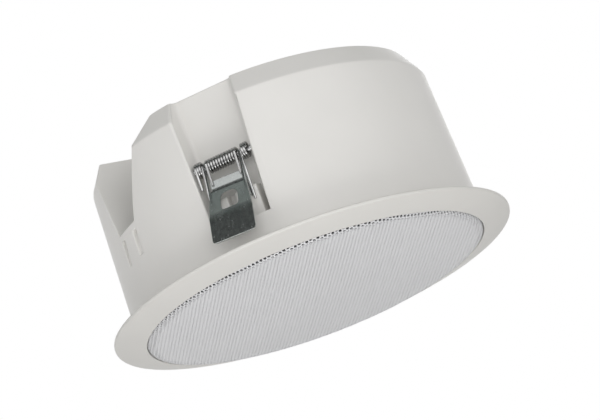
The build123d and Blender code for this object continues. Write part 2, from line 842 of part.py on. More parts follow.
# Clip spring: a middle coil, an end coil outside each ear, and legs that press on the block of the pocket.
middle_radius = coil_diameter / 2
end_radius = end_coil_diameter / 2
end_start = ear_outer + ear_play
leg_across = end_start + coil_pitch / 2
wire_reach = ear_radius + fit_gap + wire_radius
with BuildPart() as clip_spring:
    with BuildSketch(hinge_plane):
        with BuildLine():
            Polyline(*coil_section(-coil_pitch * coil_turns / 2, coil_turns, middle_radius), close=True)
        make_face()
        for first in (end_start, -end_start - coil_pitch * end_coil_turns):
            with BuildLine():
                Polyline(*coil_section(first, end_coil_turns, end_radius), close=True)
            make_face()
    revolve(axis=hinge_axis)
    bridge_back = wire_reach - hinge_radius
    bridge_end = end_start + coil_pitch
    add(wire((-bridge_end, bridge_back, hinge_height), (bridge_end, bridge_back, hinge_height), wire_radius))
    for side in (-1, 1):
        leg_top = (side * leg_across, -hinge_radius - wire_reach, hinge_height)
        leg_foot = (side * leg_across, -block_face - wire_radius - running_gap, leg_foot_height)
        add(wire(leg_top, leg_foot, wire_radius))

# Working arms of the spring: they run from the middle coil to the top lip of the plate and hold it down.
lip_slope = Vector(plate_bend_out - plate_lip_out, plate_bend_height - plate_lip_height).normalized()
lip_face = Vector(-lip_slope.Y, lip_slope.X)
lip_middle = Vector(
    (plate_lip_out + plate_bend_out) / 2, (plate_lip_height + plate_bend_height) / 2
) + lip_face * (plate_sheet + wire_radius + running_gap)
arm_across = plate_lip_width / 2 - wire_radius
arm_out = middle_radius + fit_gap + wire_radius
with BuildPart() as clip_spring_arm:
    for side in (-1, 1):
        arm_top = (side * arm_across, -hinge_radius - arm_out, hinge_height)
        arm_foot = (side * arm_across, -hinge_radius - lip_middle.X, lip_middle.Y)
        add(wire(arm_top, arm_foot, wire_radius))

# The two clips: clip b is clip a turned half round the can.
clip_pieces = (
    ("clip_plate", clip_plate),
    ("clip_pin", clip_pin),
    ("clip_spring", clip_spring),
    ("clip_spring_arm", clip_spring_arm),
)
for name, piece in clip_pieces:
    for letter, turn in (("a", 0), ("b", 180)):
        save(piece.part.rotate(Axis.Z, turn), f"{name}_{letter}")
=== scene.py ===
from math import cos, pi, radians, sin, sqrt, tan

import bmesh
import bpy
from mathutils import Matrix, Vector


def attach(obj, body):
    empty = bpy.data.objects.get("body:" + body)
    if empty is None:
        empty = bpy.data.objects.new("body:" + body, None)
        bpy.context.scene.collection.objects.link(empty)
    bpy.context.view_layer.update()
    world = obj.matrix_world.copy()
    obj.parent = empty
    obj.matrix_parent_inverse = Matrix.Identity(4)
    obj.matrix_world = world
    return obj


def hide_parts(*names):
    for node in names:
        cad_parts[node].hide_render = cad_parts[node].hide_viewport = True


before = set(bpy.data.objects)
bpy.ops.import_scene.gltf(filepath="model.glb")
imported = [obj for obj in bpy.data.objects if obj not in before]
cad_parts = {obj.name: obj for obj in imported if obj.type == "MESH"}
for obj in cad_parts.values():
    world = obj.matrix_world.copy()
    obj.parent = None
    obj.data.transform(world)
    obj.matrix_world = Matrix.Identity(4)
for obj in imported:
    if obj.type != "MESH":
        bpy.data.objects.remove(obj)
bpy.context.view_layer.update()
scene = bpy.context.scene

# Front frame: the flange that shows below the ceiling, sloping in from its rim to the grille, which it holds
# nearly flush. One injection moulding in warm white plastic, satin, screwed to the mouth of the back can.


def round_corners(bm, corners, roundings, segments):
    """Rounds some corners of a flat outline, each with its own size in millimetres."""
    for corner, size in roundings.items():
        bmesh.ops.bevel(
            bm, geom=[corners[corner]], offset=size / 1000, offset_type="OFFSET", segments=segments,
            affect="VERTICES", profile=0.5, material=-1,
        )


def turned(profile, roundings, steps, closed=True):
    """Turns a half section, in millimetres, once round the can's axis, with some of its corners rounded."""
    bm = bmesh.new()
    corners = [bm.verts.new((r / 1000, 0, z / 1000)) for r, z in profile]
    pairs = zip(corners, corners[1:] + corners[:1]) if closed else zip(corners, corners[1:])
    for first, second in pairs:
        bm.edges.new((first, second))
    round_corners(bm, corners, roundings, 5)
    bmesh.ops.spin(
        bm, geom=bm.verts[:] + bm.edges[:], cent=(0, 0, 0), axis=(0, 0, 1), dvec=(0, 0, 0),
        angle=2 * pi, steps=steps, use_merge=True, use_duplicate=False,
    )
    bmesh.ops.remove_doubles(bm, verts=bm.verts[:], dist=1e-6)
    bmesh.ops.recalc_face_normals(bm, faces=bm.faces[:])
    return bm


def piece(bm, name, body, nodes, material, crease=32):
    """A finished piece from a bmesh: smooth, sharp past the crease angle, with its body and finish."""
    mesh = bpy.data.meshes.new(name)
    bm.to_mesh(mesh)
    bm.free()
    mesh.materials.append(material)
    mesh.shade_smooth()
    mesh.set_sharp_from_angle(angle=radians(crease))
    obj = bpy.data.objects.new(name, mesh)
    scene.collection.objects.link(obj)
    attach(obj, body)
    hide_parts(*nodes)
    return obj


def surface(
    name, colour, shade, roughness, metal=0.0, cloud=26, grain=900, bump=0.06, spread=0.06,
    stretch=(1, 1, 1),
):
    """A worked surface: colour clouded between two tones, fine grain in its relief, gloss that varies."""
    material = bpy.data.materials.new(name)
    material.use_nodes = True
    nodes, links = material.node_tree.nodes, material.node_tree.links
    shader = nodes["Principled BSDF"]
    shader.inputs["Metallic"].default_value = metal
    place = nodes.new("ShaderNodeTexCoord")
    scale = nodes.new("ShaderNodeMapping")
    scale.inputs["Scale"].default_value = stretch
    links.new(place.outputs["Object"], scale.inputs["Vector"])
    tones = nodes.new("ShaderNodeTexNoise")
    tones.inputs["Scale"].default_value = cloud
    tones.inputs["Detail"].default_value = 3
    links.new(scale.outputs["Vector"], tones.inputs["Vector"])
    tint = nodes.new("ShaderNodeValToRGB")
    tint.color_ramp.elements[0].position = 0.3
    tint.color_ramp.elements[0].color = (*shade, 1)
    tint.color_ramp.elements[1].position = 0.7
    tint.color_ramp.elements[1].color = (*colour, 1)
    links.new(tones.outputs["Fac"], tint.inputs["Fac"])
    links.new(tint.outputs["Color"], shader.inputs["Base Color"])
    fine = nodes.new("ShaderNodeTexNoise")
    fine.inputs["Scale"].default_value = grain
    fine.inputs["Detail"].default_value = 2
    links.new(scale.outputs["Vector"], fine.inputs["Vector"])
    relief = nodes.new("ShaderNodeBump")
    relief.inputs["Strength"].default_value = bump
    relief.inputs["Distance"].default_value = 0.0004
    links.new(fine.outputs["Fac"], relief.inputs["Height"])
    links.new(relief.outputs["Normal"], shader.inputs["Normal"])
    gloss = nodes.new("ShaderNodeMapRange")
    gloss.inputs["To Min"].default_value = roughness - spread
    gloss.inputs["To Max"].default_value = roughness + spread
    links.new(fine.outputs["Fac"], gloss.inputs["Value"])
    links.new(gloss.outputs["Result"], shader.inputs["Roughness"])
    return material


rim_radius, rim_edge = 115.0, -1.8
grille_seat_radius, grille_seat_edge = 98.05, -6.8
baffle_hole, baffle_front, baffle_back = 73.5, -1.2, 1.8
spigot_radius = 98.3
flange_steps = 256
frame_white = surface("frame_white", (0.655, 0.642, 0.612), (0.635, 0.622, 0.594), 0.42)
flange = turned(
    [
        (baffle_hole, baffle_front), (grille_seat_radius, baffle_front),
        (grille_seat_radius, grille_seat_edge), (rim_radius, rim_edge),
        (rim_radius, 0.0), (spigot_radius, 0.0),
        (spigot_radius, baffle_back), (baffle_hole, baffle_back),
    ],
    {2: 0.5, 3: 0.8, 4: 0.6}, flange_steps,
)
piece(flange, "flange_moulding", "body", ["front_frame"], frame_white)

# Back can: the moulded drum that closes the speaker off above the ceiling, drafted, with a chamfered back.
# Two deep pockets take the spring clips, and a drafted recess at one side takes the cable and its terminals.
# It is white plastic, a little brighter than the frame, with softened edges.


def block(low, high):
    """A box between two corners, in millimetres."""
    bm = bmesh.new()
    bmesh.ops.create_cube(bm, size=0.001)
    size = [b - a for a, b in zip(low, high)]
    middle = [(a + b) / 2000 for a, b in zip(low, high)]
    bmesh.ops.scale(bm, vec=size, verts=bm.verts[:])
    bmesh.ops.translate(bm, vec=middle, verts=bm.verts[:])
    return bm


def hull(points):
    """A solid drawn tight round its corner points, in millimetres."""
    bm = bmesh.new()
    corners = [bm.verts.new((x / 1000, y / 1000, z / 1000)) for x, y, z in points]
    bmesh.ops.convex_hull(bm, input=corners)
    bmesh.ops.dissolve_limit(bm, angle_limit=radians(0.1), verts=bm.verts[:], edges=bm.edges[:])
    bmesh.ops.recalc_face_normals(bm, faces=bm.faces[:])
    return bm


def tool_shape(bm):
    """A loose object for shaping another piece."""
    mesh = bpy.data.meshes.new("tool")
    bm.to_mesh(mesh)
    bm.free()
    obj = bpy.data.objects.new("tool", mesh)
    scene.collection.objects.link(obj)
    return obj


def settled(*loose):
    """The bmesh of the first loose object, its modifiers worked in; then all of them are cleared away."""
    bpy.context.view_layer.update()
    worked = loose[0].evaluated_get(bpy.context.evaluated_depsgraph_get())
    result = bpy.data.meshes.new_from_object(worked)
    bm = bmesh.new()
    bm.from_mesh(result)
    bpy.data.meshes.remove(result)
    for obj in loose:
        bpy.data.objects.remove(obj)
    return bm


def shaped(bm, steps):
    """Cuts or joins tool shapes into a bmesh, one after another, and gives back the new bmesh."""
    blank = tool_shape(bm)
    tools = []
    for operation, tool in steps:
        tools.append(tool_shape(tool))
        change = blank.modifiers.new("change", "BOOLEAN")
        change.operation = operation
        change.solver = "EXACT"
        change.object = tools[-1]
    return settled(blank, *tools)


def rounded(bm, size, segments, keep):
    """Rounds the edges that the test picks."""
    bmesh.ops.bevel(
        bm, geom=[e for e in bm.edges if keep(e)], offset=size / 1000, offset_type="OFFSET",
        segments=segments, affect="EDGES", profile=0.5, material=-1, clamp_overlap=False,
    )
    return bm


def soften(bm, size, angle, keep=lambda edge: True, segments=3):
    """Joins flat faces and stray points, then rounds each edge that turns by more than the angle."""
    bmesh.ops.dissolve_limit(bm, angle_limit=radians(0.2), verts=bm.verts[:], edges=bm.edges[:])
    bmesh.ops.remove_doubles(bm, verts=bm.verts[:], dist=min(size / 1600, 0.0005))
    bmesh.ops.dissolve_degenerate(bm, edges=bm.edges[:], dist=1e-5)
    rounded(
        bm, size, segments,
        lambda e: len(e.link_faces) == 2 and e.calc_face_angle() > radians(angle) and keep(e),
    )


def turn(bm, angle):
    """Turns a shape round the can's axis."""
    bmesh.ops.rotate(bm, matrix=Matrix.Rotation(radians(angle), 3, "Z"), verts=bm.verts[:], cent=(0, 0, 0))
    return bm


pocket_floor, pocket_foot, pocket_top, pocket_reach = 85.0, 16.5, 113.5, 118.0


def pocket_half(out, height):
    """Half width of a clip pocket at a distance from the axis and a height."""
    return 14.2 + 0.04 * (height - 29.5) + tan(radians(12)) * (out - pocket_floor)


def clip_room():
    """The room of a clip pocket: drafted side walls and a flat floor, open at the can's wall and back."""
    room = hull([
        (side * pocket_half(out, height), -out, height)
        for out in (pocket_floor, pocket_reach) for height in (pocket_foot, pocket_top) for side in (-1, 1)
    ])
    return rounded(
        room, 2.2, 5,
        lambda e: max(v.co.y for v in e.verts) - min(v.co.y for v in e.verts) < 1e-6
        and e.verts[0].co.y > -0.09 and abs(e.verts[0].co.z - e.verts[1].co.z) > 0.05,
    )


def clip_block():
    """The block in the foot of a clip pocket, which the spring's legs press on; its top slopes outwards."""
    return hull([
        (side * across, -out, height)
        for across, out, top in ((13.6, 80.0, 37.0), (13.0, 95.5, 33.8))
        for height in (12.0, top) for side in (-1, 1)
    ])


def crossing(first, second):
    """Where two lines cross, each given by its facing and its distance from the axis."""
    spread = sin(second[0] - first[0])
    across = (first[1] * sin(second[0]) - second[1] * sin(first[0])) / spread
    along = (second[1] * cos(first[0]) - first[1] * cos(second[0])) / spread
    return across, along


recess_foot, recess_mouth_foot, recess_top = 51.5, 46.4, 110.0


def recess_corners(height):
    """Corners of the cable recess at a height, two at the back wall and two at the open mouth."""
    rise = height - recess_foot
    near = (radians(-70.1), 51.9 + rise * tan(radians(20.7)))
    far = (radians(135.6), 12.6 + rise * tan(radians(15.7)))
    back = (radians(27.1), -63.9 + rise * tan(radians(5.7)))
    mouth = (radians(225.0), 125.0)
    corners = (crossing(near, back), crossing(back, far), crossing(far, mouth), crossing(mouth, near))
    return [(x, y, height) for x, y in corners]


def pocket_edge(edge):
    """True for the long edges where the walls of a clip pocket meet the outside of the can."""
    low, high = sorted(v.co.z for v in edge.verts)
    beside = all(0.0135 < abs(v.co.x) < 0.030 and abs(v.co.y) > 0.0865 for v in edge.verts)
    return beside and low > 0.0155 and high - low > 0.009


can_foot, can_shoulder, can_back = (101.1, 0.0), (97.8, 84.5), (90.5, 97.0)
drum_steps = 88
pocket_rounding, edge_rounding, rounded_past = 1.7, 0.8, 22
can_white = surface("can_white", (0.775, 0.762, 0.735), (0.752, 0.740, 0.712), 0.46)
drum = turned([can_foot, can_shoulder, can_back], {}, drum_steps, closed=False)
for height in (can_foot[1], can_back[1]):
    rim = [e for e in drum.edges if e.is_boundary and abs(e.verts[0].co.z - height / 1000) < 1e-6]
    bmesh.ops.contextual_create(drum, geom=rim)
bmesh.ops.recalc_face_normals(drum, faces=drum.faces[:])
cuts = []
for angle in (0, 180):
    cuts.append(("DIFFERENCE", turn(clip_room(), angle)))
    cuts.append(("UNION", turn(clip_block(), angle)))
    cuts.append(("DIFFERENCE", turn(block((-4.5, -120.0, pocket_foot), (0.1, -88.0, 44.0)), angle)))
recess = recess_corners(recess_foot)[:2] + recess_corners(recess_mouth_foot)[2:] + recess_corners(recess_top)
cuts.append(("DIFFERENCE", hull(recess)))
slit_half, slit_foot, slit_top = 1.9, 30.5, 44.6
for angle in (220.5, 229.5):
    slit = hull([
        (out, side, height) for side in (-slit_half, slit_half)
        for out, height in ((96.2, slit_top), (98.6, slit_foot), (110.0, slit_foot), (110.0, slit_top))
    ])
    cuts.append(("DIFFERENCE", turn(slit, angle)))
drum = shaped(drum, cuts)
soften(drum, pocket_rounding, rounded_past, keep=pocket_edge, segments=7)
soften(drum, edge_rounding, rounded_past, keep=lambda e: max(v.co.z for v in e.verts) > 1e-5)
seat = [f for f in drum.faces if f.calc_center_median().z < 1e-5 and f.normal.z < -0.9]
bmesh.ops.delete(drum, geom=seat, context="FACES")
can = piece(drum, "can_moulding", "body", ["back_can"], can_white)
settle = can.modifiers.new("settle", "WEIGHTED_NORMAL")
settle.keep_sharp = True

# Grille: a shallow pan pressed from perforated steel sheet and powder coated white, pushed into the frame.
# The small holes stand in staggered rows and run on round the rolled edge; the skirt of the pan is plain.
face_height, face_crown = -8.8, 1.0
roll_start, roll_radius, roll_height = 94.5, 3.2, -4.6
roll_end = roll_start + roll_radius * pi / 2


def on_pan(x, y, depth):
    """Wraps a point of the flat blank onto the pan: crowned face, rolled edge, skirt; depth is inwards."""
    run = sqrt(x * x + y * y)
    if run < roll_start:
        radius, height = run, face_height + face_crown * (run / roll_start) ** 2 + depth
    elif run < roll_end:
        bend = (run - roll_start) / roll_radius
        radius = roll_start + (roll_radius - depth) * sin(bend)
        height = roll_height - (roll_radius - depth) * cos(bend)
    else:
        radius, height = roll_start + roll_radius - depth, roll_height + run - roll_end
    if run < 1e-6:
        return Vector((0, 0, height / 1000))
    return Vector((x / run * radius, y / run * radius, height)) / 1000


sheet_thickness = 0.8
pitch, rows_turned = 2.42, 25.0
half_across, half_along = 48, 70
face_hole, edge_hole, widening_start, widening = 0.57, 1.0, 92.5, 2.0
holes_end, plain_start, skirt_end = 98.7, 100.4, 102.9
grille_white = surface(
    "grille_white", (0.695, 0.695, 0.704), (0.675, 0.675, 0.684), 0.40, grain=1500, bump=0.05,
)
across, along = Vector((pitch * cos(pi / 6), pitch / 2, 0)), Vector((0, pitch, 0))
cell = bmesh.new()
first_place = Matrix.Translation(-half_across * across - half_along * along)
bmesh.ops.create_circle(
    cell, cap_ends=True, segments=6, radius=pitch / sqrt(3),
    matrix=first_place @ Matrix.Rotation(radians(30), 4, "Z"),
)
sheet = tool_shape(cell)
for half, step in ((half_across, across), (half_along, along)):
    row = sheet.modifiers.new("row", "ARRAY")
    row.count = 2 * half + 1
    row.use_relative_offset = False
    row.use_constant_offset = True
    row.constant_offset_displace = step
pan = turn(settled(sheet), rows_turned)
outside = [f for f in pan.faces if f.calc_center_median().length > holes_end]
bmesh.ops.delete(pan, geom=outside, context="FACES")
bmesh.ops.remove_doubles(pan, verts=pan.verts[:], dist=0.01)
cells = pan.faces[:]
rim = [e for e in pan.edges if e.is_boundary]
ring = bmesh.ops.create_circle(pan, cap_ends=False, segments=192, radius=plain_start)["verts"]
ring_edges = list({e for v in ring for e in v.link_edges})
bmesh.ops.triangle_fill(pan, use_beauty=True, use_dissolve=False, edges=rim + ring_edges)
grown = bmesh.ops.extrude_edge_only(pan, edges=ring_edges)["geom"]
for vert in [v for v in grown if isinstance(v, bmesh.types.BMVert)]:
    vert.co *= skirt_end / vert.co.length
bmesh.ops.inset_individual(pan, faces=cells, thickness=0.3, depth=0)
for cell in cells:
    middle = cell.calc_center_median()
    widened = min(max((middle.length - widening_start) / widening, 0.0), 1.0)
    hole = face_hole + (edge_hole - face_hole) * widened
    for vert in cell.verts:
        vert.co = middle + (vert.co - middle).normalized() * hole
sunk = bmesh.ops.extrude_discrete_faces(pan, faces=cells)["faces"]
for face in sunk:
    for vert in face.verts:
        vert.co.z = sheet_thickness
bmesh.ops.delete(pan, geom=sunk, context="FACES_ONLY")
for vert in pan.verts:
    vert.co = on_pan(vert.co.x, vert.co.y, vert.co.z)
bmesh.ops.recalc_face_normals(pan, faces=pan.faces[:])
if max(pan.faces, key=lambda f: f.calc_area()).normal.z > 0:
    bmesh.ops.reverse_faces(pan, faces=pan.faces[:])
piece(pan, "grille_pan", "body", ["grille"], grille_white)

# Scrim: thin black acoustic cloth, cut round and glued to the back of the grille.
# It keeps dust out, and nothing inside shows through the holes.
cloth_black = surface(
    "cloth_black", (0.012, 0.012, 0.013), (0.006, 0.006, 0.007), 0.85, grain=4200, bump=0.4,
)
scrim_profile = [(0.0, -7.75), (48.0, -7.5), (94.3, -6.8), (95.8, -6.1), (96.5, -4.6), (96.5, -2.0)]
scrim = turned(scrim_profile, {}, 96, closed=False)
piece(scrim, "grille_scrim", "body", ["grille_cloth"], cloth_black)

# Frame screws: short pan-head screws of bright zinc-plated steel, through the frame's baffle into the can.
# The driver's and the transformer's screws are of the same kind.


def finish(material, *names):
    """Gives CAD nodes that show as they are their material."""
    for name in names:
        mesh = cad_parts[name].data
        mesh.materials.clear()
        mesh.materials.append(material)


screw_zinc = surface(
    "screw_zinc", (0.580, 0.585, 0.590), (0.470, 0.475, 0.480), 0.30, metal=1.0,
    cloud=260, grain=1400, bump=0.05,
)
finish(screw_zinc, "frame_screws", "driver_screws", "transformer_screws")

# Driver: a pressed steel basket, painted black, screwed to the frame over a foam gasket. It carries a paper
# cone on a rubber surround and a cloth spider, with a paper whizzer and dust cap at the middle, in front of
# a ferrite motor with steel plates.
foam_black = surface(
    "foam_black", (0.060, 0.060, 0.060), (0.030, 0.030, 0.030), 0.92, cloud=420, grain=1800, bump=0.5,
)
finish(foam_black, "driver_gasket")
basket_black = surface(
    "basket_black", (0.036, 0.036, 0.038), (0.026, 0.026, 0.028), 0.44, cloud=60, grain=1100, bump=0.12,
)
finish(basket_black, "driver_basket")
surround_rubber = surface(
    "surround_rubber", (0.040, 0.040, 0.042), (0.026, 0.026, 0.027), 0.58, cloud=120, grain=900, bump=0.06,
)
finish(surround_rubber, "surround")
cone_paper = surface(
    "cone_paper", (0.105, 0.102, 0.098), (0.060, 0.058, 0.056), 0.82, cloud=300, grain=1600, bump=0.35,
    stretch=(1, 1, 0.4),
)
finish(cone_paper, "cone", "whizzer_cone", "dust_cap")
coil_copper = surface(
    "coil_copper", (0.620, 0.330, 0.180), (0.450, 0.220, 0.110), 0.34, metal=1.0,
    cloud=200, grain=2600, bump=0.2, stretch=(0.1, 0.1, 4),
)
finish(coil_copper, "voice_coil")
spider_cloth = surface(
    "spider_cloth", (0.620, 0.470, 0.250), (0.480, 0.350, 0.180), 0.86, cloud=350, grain=2400, bump=0.5,
)
finish(spider_cloth, "spider")
motor_steel = surface(
    "motor_steel", (0.560, 0.555, 0.530), (0.450, 0.445, 0.420), 0.36, metal=1.0,
    cloud=140, grain=800, bump=0.05,
)
finish(motor_steel, "top_plate", "back_plate")
ferrite = surface(
    "ferrite", (0.085, 0.085, 0.088), (0.055, 0.055, 0.058), 0.66, cloud=160, grain=1200, bump=0.25,
)
finish(ferrite, "magnet")
tag_board = surface(
    "tag_board", (0.330, 0.190, 0.090), (0.240, 0.130, 0.060), 0.70, cloud=240, grain=1500, bump=0.2,
    stretch=(1, 4, 1),
)
finish(tag_board, "driver_terminals")

# Transformer: a stack of varnished laminations round a moulded nylon bobbin, for a loudspeaker line.
# A bent steel strap and two screws hold it to the back of the can.
lamination = surface(
    "lamination", (0.240, 0.225, 0.215), (0.150, 0.140, 0.135), 0.42, metal=0.8,
    cloud=90, grain=700, bump=0.25, stretch=(0.2, 0.2, 6),
)
finish(lamination, "transformer_core")
bobbin_nylon = surface(
    "bobbin_nylon", (0.780, 0.690, 0.420), (0.720, 0.620, 0.360), 0.50, cloud=60, grain=1000,
)
finish(bobbin_nylon, "transformer_bobbin")
finish(motor_steel, "transformer_bracket")

# Terminal block: a moulded block of screw clamps, dark grey, with plated screws.
# It stands in the foot of the cable recess, where the wires are joined.
terminal_grey = surface(
    "terminal_grey", (0.120, 0.140, 0.130), (0.095, 0.112, 0.104), 0.48, cloud=120, grain=1000, bump=0.08,
)
finish(terminal_grey, "terminal_block")
finish(screw_zinc, "terminal_screws")

# Clip pins: plain turned steel pins, pressed into the walls of the clip pockets.
# Each carries a clip plate and its spring.
pin_steel = surface(
    "pin_steel", (0.520, 0.520, 0.520), (0.420, 0.420, 0.425), 0.26, metal=1.0,
    cloud=200, grain=1500, bump=0.05, stretch=(0.2, 3, 3),
)
finish(pin_steel, "clip_pin_a", "clip_pin_b")

# Clip plates: stamped and bent from plated steel sheet, with an arched window and two ears.
# Each swings on its pin; at rest it hangs against the can and leans out over the flange, a little askew.
hinge_out, hinge_up = 93.0, 53.5
plate_thickness = 1.0
ear_radius = 2.7


def extruded(bm, step):
    """Draws a flat outline out into a solid along a step, in millimetres."""
    grown = bmesh.ops.extrude_face_region(bm, geom=bm.faces[:])["geom"]
    far = [v for v in grown if isinstance(v, bmesh.types.BMVert)]
    bmesh.ops.translate(bm, vec=[value / 1000 for value in step], verts=far)
    bmesh.ops.recalc_face_normals(bm, faces=bm.faces[:])
    return bm


def prism(outline, roundings):
    """A prism through the clip from inside to outside, its section given across and up, corners rounded."""
    bm = bmesh.new()
    corners = [bm.verts.new((x / 1000, -0.070, z / 1000)) for x, z in outline]
    bm.faces.new(corners)
    round_corners(bm, corners, roundings, 6)
    return extruded(bm, (0, -60, 0))


def clip_plate():
    """The plate of clip a: bent sheet, its outline and window cut, ears added."""
    inside = [Vector((97.4, 43.2)), Vector((98.6, 37.5)), Vector((108.5, 21.0)), Vector((116.0, 5.0))]
    runs = [(b - a).normalized() for a, b in zip(inside, inside[1:])]
    faces = [Vector((-run.y, run.x)) for run in runs]
    normals = [faces[0]] + [(a + b) / (1 + a.dot(b)) for a, b in zip(faces, faces[1:])] + [faces[-1]]
    outside = [point + plate_thickness * normal for point, normal in zip(inside, normals)]
    bm = bmesh.new()
    section = [bm.verts.new((-0.016, -p.x / 1000, p.y / 1000)) for p in inside + outside[::-1]]
    bm.faces.new(section)
    round_corners(bm, section, {1: 1.0, 2: 3.0, 5: 3.0, 6: 1.4}, 6)
    extruded(bm, (32, 0, 0))
    right_side = [(9.2, 46.0), (9.2, 37.6), (10.7, 37.0), (12.5, 21.0), (12.6, 5.0)]
    outline = prism(right_side + [(-x, z) for x, z in right_side[::-1]], {4: 2.5, 5: 2.5})
    window = prism([(5.0, 24.0), (5.0, 34.6), (-5.0, 34.6), (-5.0, 24.0)], {0: 1.6, 1: 3.8, 2: 3.8, 3: 1.6})
    steps = [("INTERSECT", outline), ("DIFFERENCE", window)]
    eye = [
        (hinge_out + ear_radius * cos(radians(a)), hinge_up + ear_radius * sin(radians(a)))
        for a in range(0, 360, 20)
    ]
    foot = [(99.2, 37.3), (104.8, 28.2), (95.8, 28.2)]
    for side in (-1, 1):
        ear = hull([(side * across, -out, up) for across in (9.9, 10.7) for out, up in eye + foot])
        steps.append(("UNION", ear))
    bm = shaped(bm, steps)
    soften(bm, 0.14, 40, segments=2)
    skew = Matrix.Rotation(radians(-2.7), 3, (0, -1, 0))
    bmesh.ops.rotate(bm, matrix=skew, verts=bm.verts[:], cent=(0, -hinge_out / 1000, hinge_up / 1000))
    return bm


plated_steel = surface(
    "plated_steel", (0.560, 0.580, 0.570), (0.480, 0.505, 0.500), 0.24, metal=1.0,
    cloud=90, grain=700, bump=0.03, spread=0.08, stretch=(1, 1, 0.25),
)
for letter, angle in (("a", 0), ("b", 180)):
    plate = piece(
        turn(clip_plate(), angle), f"plate_{letter}", f"clip_{letter}", [f"clip_plate_{letter}"],
        plated_steel, crease=50,
    )
    settle = plate.modifiers.new("settle", "WEIGHTED_NORMAL")
    settle.keep_sharp = True

# Clip springs: hard-drawn wire wound close round each pin, a middle coil and a wider coil outside each ear.
# Straight legs run down to the block in the pocket, and arms run to the lip of the plate and move with it.


def wires(runs, radius):
    """Round wire along each run of points, in millimetres, as one bmesh."""
    curve = bpy.data.curves.new("wire", "CURVE")
    curve.dimensions = "3D"
    curve.bevel_depth = radius / 1000
    curve.bevel_resolution = 3
    curve.use_fill_caps = True
    for run in runs:
        spline = curve.splines.new("POLY")
        spline.points.add(len(run) - 1)
        for point, spot in zip(spline.points, run):
            point.co = (*[value / 1000 for value in spot], 1)
    obj = bpy.data.objects.new("wire", curve)
    scene.collection.objects.link(obj)
    bm = settled(obj)
    bmesh.ops.remove_doubles(bm, verts=bm.verts[:], dist=1e-6)
    bmesh.ops.recalc_face_normals(bm, faces=bm.faces[:])
    return bm


def coil(start, end, turns, radius):
    """Points of a close-wound coil round the pin of clip a, beginning at its outer side."""
    turn_points = 24
    steps = round(turns * turn_points)
    return [
        (
            start + (end - start) * step / steps,
            -hinge_out - radius * cos(2 * pi * step / turn_points),
            hinge_up + radius * sin(2 * pi * step / turn_points),
        )
        for step in range(steps + 1)
    ]


wire_radius = 0.7
coil_end, coil_radius = 9.0, 3.45
end_coil_outer, end_coil_inner, end_coil_radius = 15.2, 11.4, 3.85
spring_wire = surface(
    "spring_wire", (0.500, 0.500, 0.495), (0.360, 0.360, 0.360), 0.20, metal=1.0,
    cloud=240, grain=1600, bump=0.03,
)
for letter, angle in (("a", 0), ("b", 180)):
    runs = [coil(-coil_end, coil_end, 11.5, coil_radius)]
    for side, foot in ((-1, -14.2), (1, 10.4)):
        loop = coil(side * end_coil_outer, side * end_coil_inner, 3, end_coil_radius)
        tail = [(-15.3, -96.9, 41.5), (-15.2, -96.9, 48.0)] if side < 0 else []
        knee = (side * end_coil_inner + foot) / 2
        runs.append(tail + loop + [(knee, -96.75, 40.0), (foot, -96.3, 25.8)])
    piece(
        turn(wires(runs, wire_radius), angle), f"spring_{letter}", "body", [f"clip_spring_{letter}"],
        spring_wire, crease=60,
    )
    arms = [
        [(side * 8.5, -97.8, 54.0), (side * 8.5, -97.85, 52.0), (side * 8.4, -99.4, 41.0)]
        for side in (-1, 1)
    ]
    piece(
        turn(wires(arms, wire_radius), angle), f"spring_arms_{letter}", f"clip_{letter}",
        [f"clip_spring_arm_{letter}"], spring_wire, crease=60,
    )

# Floor: a plain pale floor well below the speaker. It is one-sided, so the speaker can be seen from below,
# and the camera sees most of its brightness as its own, so that the lamps leave no edges on it.


def stage_sheet(name, width, depth, middle, material):
    """A flat sheet of the studio, in metres, which isn't part of the speaker."""
    bm = bmesh.new()
    bmesh.ops.create_grid(bm, x_segments=1, y_segments=1, size=0.5)
    bmesh.ops.scale(bm, vec=(width, depth, 1.0), verts=bm.verts[:])
    bmesh.ops.translate(bm, vec=middle, verts=bm.verts[:])
    mesh = bpy.data.meshes.new(name)
    bm.to_mesh(mesh)
    bm.free()
    mesh.materials.append(material)
    obj = bpy.data.objects.new(name, mesh)
    scene.collection.objects.link(obj)
    return obj


floor_size, floor_height = 80.0, -0.9
floor_glow, floor_share = 0.7, 0.25
floor_white = surface("floor_white", (0.86, 0.86, 0.86), (0.85, 0.85, 0.85), 0.8, grain=8, bump=0.0)
stage_sheet("floor", floor_size, floor_size, (0, 0, floor_height), floor_white)
floor_nodes, floor_links = floor_white.node_tree.nodes, floor_white.node_tree.links
floor_shader = floor_nodes["Principled BSDF"]
floor_shader.inputs["Emission Color"].default_value = (1, 1, 1, 1)
floor_path = floor_nodes.new("ShaderNodeLightPath")
glow = floor_nodes.new("ShaderNodeMapRange")
glow.inputs["To Max"].default_value = floor_glow
floor_links.new(floor_path.outputs["Is Camera Ray"], glow.inputs["Value"])
floor_links.new(glow.outputs["Result"], floor_shader.inputs["Emission Strength"])
share = floor_nodes.new("ShaderNodeMapRange")
share.inputs["To Min"].default_value = 1.0
share.inputs["To Max"].default_value = floor_share
floor_links.new(floor_path.outputs["Is Camera Ray"], share.inputs["Value"])
dimmed = floor_nodes.new("ShaderNodeVectorMath")
dimmed.operation = "SCALE"
floor_links.new(floor_nodes["Color Ramp"].outputs["Color"], dimmed.inputs[0])
floor_links.new(share.outputs["Result"], dimmed.inputs["Scale"])
floor_links.new(dimmed.outputs["Vector"], floor_shader.inputs["Base Color"])
underside = floor_nodes.new("ShaderNodeBsdfTransparent")
facing = floor_nodes.new("ShaderNodeNewGeometry")
one_sided = floor_nodes.new("ShaderNodeMixShader")
floor_links.new(facing.outputs["Backfacing"], one_sided.inputs[0])
floor_links.new(floor_shader.outputs["BSDF"], one_sided.inputs[1])
